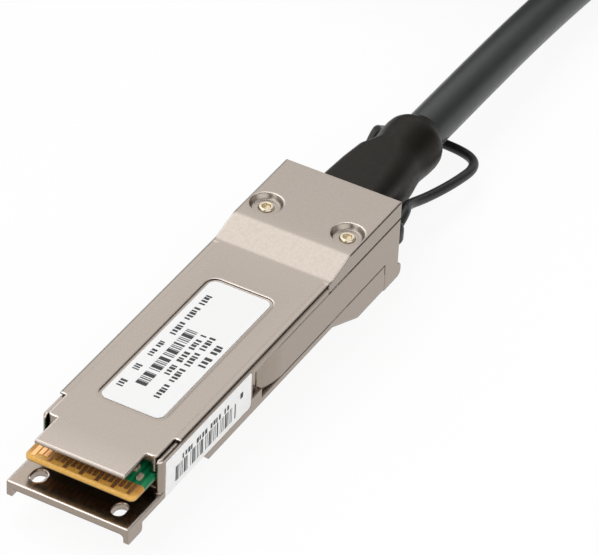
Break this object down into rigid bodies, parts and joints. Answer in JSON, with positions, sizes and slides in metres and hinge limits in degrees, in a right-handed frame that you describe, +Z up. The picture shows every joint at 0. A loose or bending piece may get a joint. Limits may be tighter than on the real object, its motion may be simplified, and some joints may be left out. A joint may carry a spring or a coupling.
{
  "type": "direct attach copper cable",
  "caption": "Passive copper network cable with a latching metal plug at each end, the spare length wound into a neat coil.",
  "frame": {"origin": "centre of the near connector's footprint, from its front edge to the end of its pull loop, on the surface it lies on", "axes": "+X from the near connector's mating edge towards its cable, +Z up, +Y to the side where the far connector lies"},
  "size_m": [0.2298, 0.1062, 0.0272],
  "materials": {
    "plated_zinc": "satin nickel plate on die-cast zinc",
    "screw_steel": "bright nickel plate",
    "label_white": "semi-gloss label film",
    "card_laminate": "glass-epoxy laminate, green mask behind the contacts",
    "contact_gold": "hard gold plate",
    "chip_black": "moulded epoxy",
    "capacitor_ceramic": "ceramic with tinned ends",
    "wire_insulation": "foil-wrapped pair insulation",
    "ferrule_brass": "crimped, tinned",
    "boot_rubber": "matt moulded elastomer",
    "loop_plastic": "satin nylon",
    "cable_jacket": "satin extruded jacket",
    "tie_strap": "hook-and-loop strap"
  },
  "bodies": {
    "cable": {"near_bottom_shell": "plated_zinc", "near_top_cover": "plated_zinc", "near_cover_screw_left": "screw_steel", "near_cover_screw_right": "screw_steel", "near_top_label": "label_white", "near_side_label": "label_white", "near_paddle_card": "card_laminate", "near_contact_pads": "contact_gold", "near_memory_chip": "chip_black", "near_card_capacitors": "capacitor_ceramic", "near_wire_pairs": "wire_insulation", "near_crimp_ferrule": "ferrule_brass", "near_strain_relief_boot": "boot_rubber", "far_bottom_shell": "plated_zinc", "far_top_cover": "plated_zinc", "far_cover_screw_left": "screw_steel", "far_cover_screw_right": "screw_steel", "far_top_label": "label_white", "far_side_label": "label_white", "far_paddle_card": "card_laminate", "far_contact_pads": "contact_gold", "far_memory_chip": "chip_black", "far_card_capacitors": "capacitor_ceramic", "far_wire_pairs": "wire_insulation", "far_crimp_ferrule": "ferrule_brass", "far_strain_relief_boot": "boot_rubber", "cable_near_run": "cable_jacket", "cable_far_run": "cable_jacket", "cable_coil": "cable_jacket", "coil_tie": "tie_strap"},
    "near_latch": {"near_latch_slider": "plated_zinc", "near_pull_loop": "loop_plastic"},
    "far_latch": {"far_latch_slider": "plated_zinc", "far_pull_loop": "loop_plastic"}
  },
  "joints": [
    {"name": "near_latch_slide", "type": "slide", "parent": "cable", "child": "near_latch", "axis": [1, 0, 0], "range_m": [0, 0.0025], "stiffness_N_per_m": 600, "springref_m": -0.002},
    {"name": "far_latch_slide", "type": "slide", "parent": "cable", "child": "far_latch", "axis": [1, 0, 0], "range_m": [0, 0.0025], "stiffness_N_per_m": 600, "springref_m": -0.002}
  ]
}
